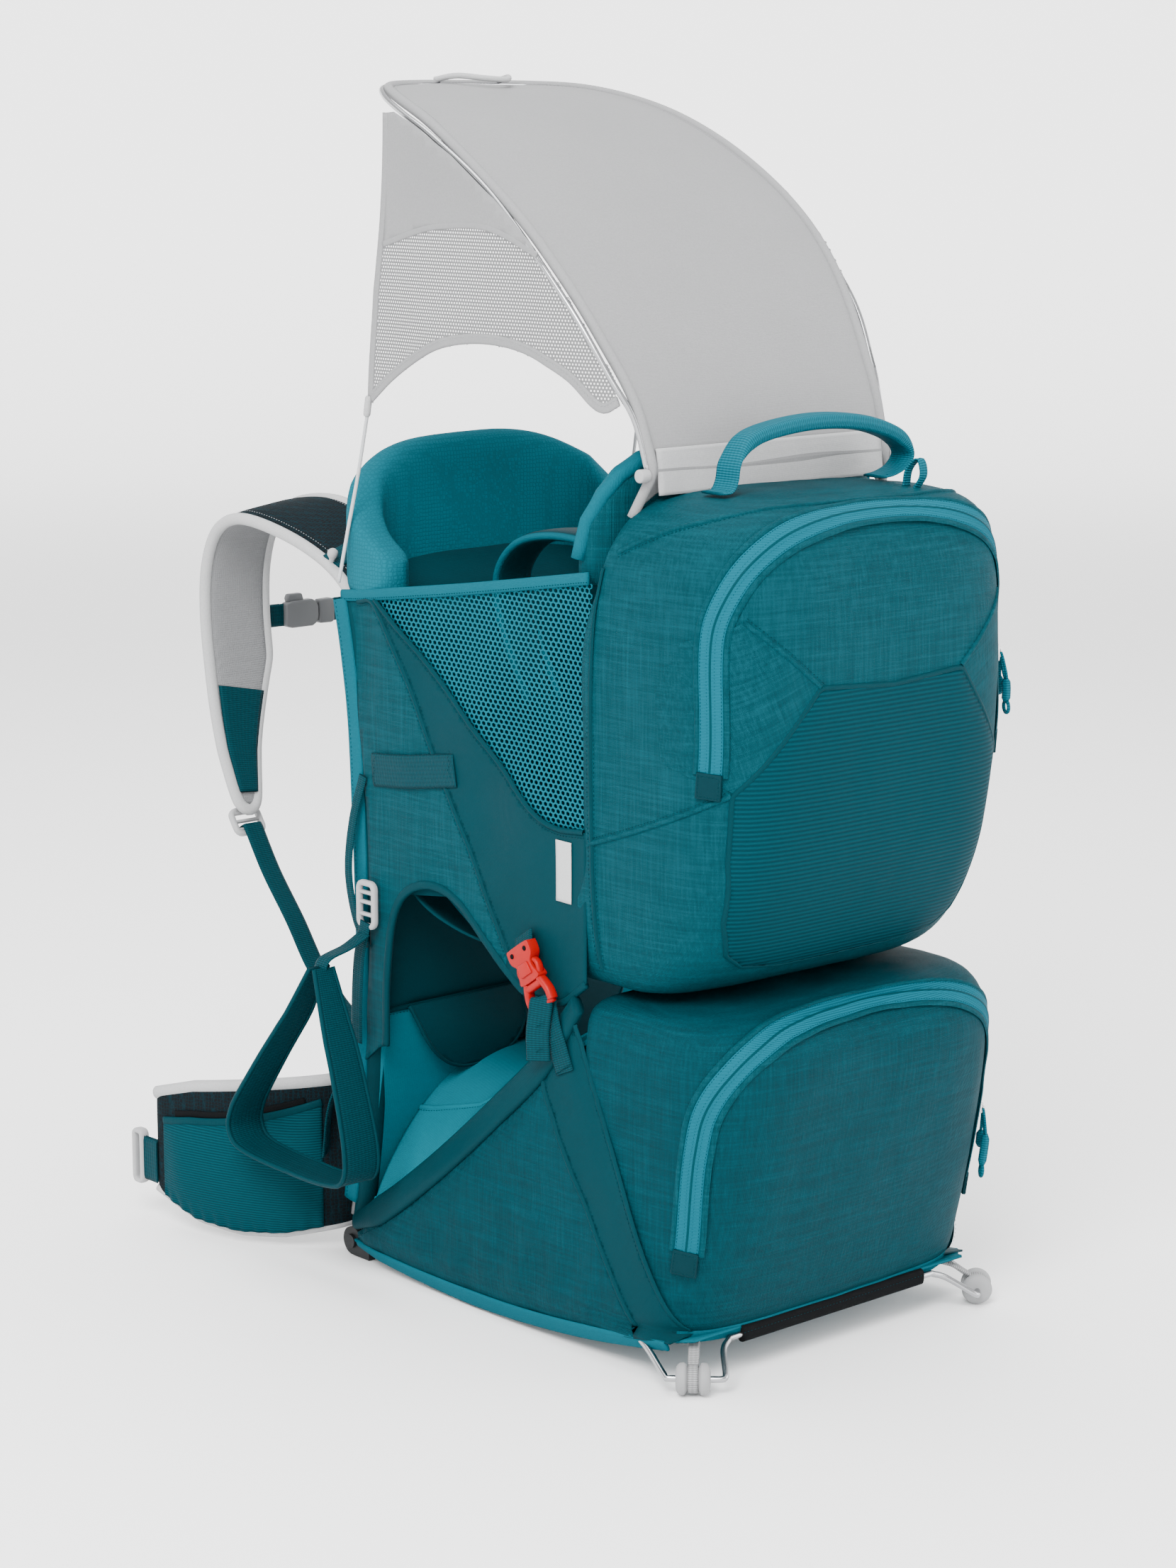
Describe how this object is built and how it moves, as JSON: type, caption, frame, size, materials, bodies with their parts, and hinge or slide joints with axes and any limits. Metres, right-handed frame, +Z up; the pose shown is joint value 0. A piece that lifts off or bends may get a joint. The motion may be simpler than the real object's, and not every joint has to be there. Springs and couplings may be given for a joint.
{
  "type": "baby carrier backpack",
  "caption": "Framed child carrier backpack that stands by itself, with a cockpit, rear pocket, base bag, hipbelt, shoulder straps, foot stirrups and folding sunshade.",
  "frame": {"origin": "on the ground, under the middle of the whole carrier's box", "axes": "+X is the wearer's right, +Y is the way the wearer faces, +Z is up"},
  "size_m": [0.465, 0.714, 0.9585],
  "materials": {
    "fabric_main": "woven nylon, slight sheen",
    "fabric_dark": "ribbed nylon",
    "fabric_trim": "knitted polyester",
    "fabric_interior": "brushed polyester",
    "mesh_teal": "open hexagon mesh",
    "zip_tape": "coated zip tape",
    "zip_metal": "polished",
    "canopy_fabric": "coated pale grey nylon",
    "mesh_grey": "padded spacer mesh",
    "webbing": "woven webbing",
    "elastic": "braided elastic",
    "plastic_grey": "satin",
    "plastic_dark": "satin",
    "plastic_red": "gloss",
    "steel_wire": "drawn wire",
    "frame_tube": "anodised",
    "roller_rubber": "matt"
  },
  "bodies": {
    "base": {"base_bag": "fabric_main", "base_floor": "fabric_trim", "leg_trough": "fabric_trim", "base_hoop": "steel_wire", "hinge_brackets": "plastic_grey", "hinge_pins": "steel_wire", "foot_straps": "webbing", "base_zip_tape": "zip_tape", "latch_strap_left": "fabric_dark", "latch_strap_right": "fabric_dark", "red_latch_left": "plastic_red", "red_latch_right": "plastic_red"},
    "roller_left": {"foot_roller_left": "roller_rubber"},
    "roller_right": {"foot_roller_right": "roller_rubber"},
    "base_zip": {"base_zip_slider": "zip_metal"},
    "pack": {"back_frame": "frame_tube", "back_panel": "fabric_trim", "lumbar_pad": "mesh_grey", "side_panel_left": "fabric_main", "side_panel_right": "fabric_main", "side_mesh_left": "mesh_teal", "side_mesh_right": "mesh_teal", "main_pocket": "fabric_main", "stretch_pocket": "fabric_dark", "pocket_zip_tape": "zip_tape", "front_pad": "fabric_trim", "headrest": "fabric_trim", "haul_handle": "fabric_trim", "red_buckle_left": "plastic_red", "red_buckle_right": "plastic_red", "compression_strap_left": "fabric_dark", "compression_strap_right": "fabric_dark", "shade_cord_left": "elastic", "shade_cord_right": "elastic", "lower_webbing_left": "webbing", "lower_webbing_right": "webbing", "stirrup_lock_left": "plastic_grey", "stirrup_lock_right": "plastic_grey"},
    "pocket_zip": {"pocket_zip_slider": "zip_metal"},
    "seat": {"child_seat": "fabric_interior", "child_harness": "fabric_dark", "harness_buckle": "plastic_dark"},
    "shade": {"shade_hoop": "steel_wire", "shade_roof": "canopy_fabric", "shade_side_left": "canopy_fabric", "shade_side_right": "canopy_fabric", "shade_pull_loop": "elastic"},
    "harness": {"harness_yoke": "fabric_dark", "shoulder_strap_left": "mesh_grey", "shoulder_strap_right": "mesh_grey", "strap_buckle_left": "plastic_grey", "strap_buckle_right": "plastic_grey"},
    "sternum_left": {"sternum_strap_left": "plastic_dark"},
    "sternum_right": {"sternum_strap_right": "plastic_dark"},
    "hip_left": {"hip_wing_left": "fabric_main", "hip_buckle_left": "plastic_grey"},
    "hip_right": {"hip_wing_right": "fabric_main", "hip_buckle_right": "plastic_grey"},
    "stirrup_left": {"stirrup_left": "webbing"},
    "stirrup_right": {"stirrup_right": "webbing"}
  },
  "joints": [
    {"name": "pack_fold", "type": "hinge", "parent": "base", "child": "pack", "pos_m": [0, 0.106, 0.012], "axis": [-1, 0, 0], "range_deg": [0, 80]},
    {"name": "roller_spin_left", "type": "hinge", "parent": "base", "child": "roller_left", "pos_m": [-0.155, -0.313, 0.0123], "axis": [0.7071, -0.7071, 0], "continuous": true},
    {"name": "roller_spin_right", "type": "hinge", "parent": "base", "child": "roller_right", "pos_m": [0.155, -0.313, 0.0123], "axis": [0.7071, 0.7071, 0], "continuous": true},
    {"name": "base_zip_run", "type": "slide", "parent": "base", "child": "base_zip", "axis": [0, 0, 1], "range_m": [0, 0.03]},
    {"name": "pocket_zip_run", "type": "slide", "parent": "pack", "child": "pocket_zip", "axis": [0, 0, 1], "range_m": [-0.02, 0.03]},
    {"name": "seat_height", "type": "slide", "parent": "pack", "child": "seat", "axis": [0, 0, 1], "range_m": [0, 0.03]},
    {"name": "shade_fold", "type": "hinge", "parent": "pack", "child": "shade", "pos_m": [0, -0.228, 0.672], "axis": [1, 0, 0], "range_deg": [0, 45], "deforming": ["shade_cord_left", "shade_cord_right"]},
    {"name": "torso_length", "type": "slide", "parent": "pack", "child": "harness", "axis": [0, 0, 1], "range_m": [-0.05, 0], "deforming": ["lower_webbing_left", "lower_webbing_right"]},
    {"name": "sternum_height", "type": "slide", "parent": "harness", "child": "sternum_left", "axis": [0, 0, 1], "range_m": [-0.02, 0.02]},
    {"name": "sternum_release", "type": "slide", "parent": "sternum_left", "child": "sternum_right", "axis": [1, 0, 0], "range_m": [0, 0.025]},
    {"name": "hip_swing_left", "type": "hinge", "parent": "pack", "child": "hip_left", "pos_m": [-0.13, 0.122, 0.085], "axis": [0, 0, -1], "range_deg": [-5, 25]},
    {"name": "hip_swing_right", "type": "hinge", "parent": "pack", "child": "hip_right", "pos_m": [0.13, 0.122, 0.085], "axis": [0, 0, 1], "range_deg": [-5, 25]},
    {"name": "stirrup_swing_left", "type": "hinge", "parent": "pack", "child": "stirrup_left", "pos_m": [-0.158, 0.069, 0.284], "axis": [1, 0, 0], "range_deg": [-20, 8]},
    {"name": "stirrup_swing_right", "type": "hinge", "parent": "pack", "child": "stirrup_right", "pos_m": [0.158, 0.069, 0.284], "axis": [1, 0, 0], "range_deg": [-20, 8]}
  ]
}
